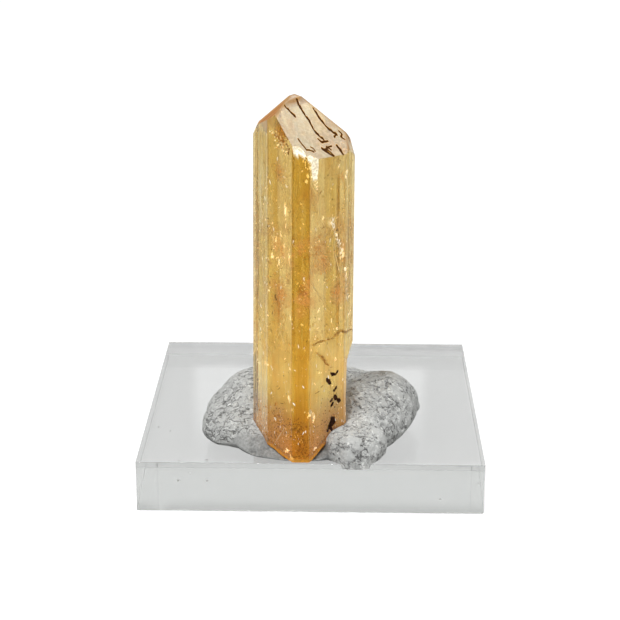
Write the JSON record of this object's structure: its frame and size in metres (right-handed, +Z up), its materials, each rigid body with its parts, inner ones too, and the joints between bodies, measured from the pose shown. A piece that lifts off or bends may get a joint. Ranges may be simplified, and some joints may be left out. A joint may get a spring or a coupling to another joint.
{
  "type": "imperial topaz crystal on acrylic base",
  "caption": "Golden topaz crystal specimen, a grooved prism with a sloping tip, standing in grey putty on a clear square acrylic display block.",
  "frame": {"origin": "centre of the acrylic block's underside", "axes": "+Z up along the crystal, -Y towards the front edge that the crystal stands at, +X to the viewer's right"},
  "size_m": [0.0382, 0.039, 0.0452],
  "materials": {
    "clear_acrylic": "clear, polished",
    "grey_putty": "matt, pressed and torn by hand",
    "imperial_topaz": "transparent golden orange, striated, natural"
  },
  "bodies": {
    "root": {"acrylic_base": "clear_acrylic", "mounting_putty": "grey_putty", "topaz_crystal": "imperial_topaz"}
  },
  "joints": []
}
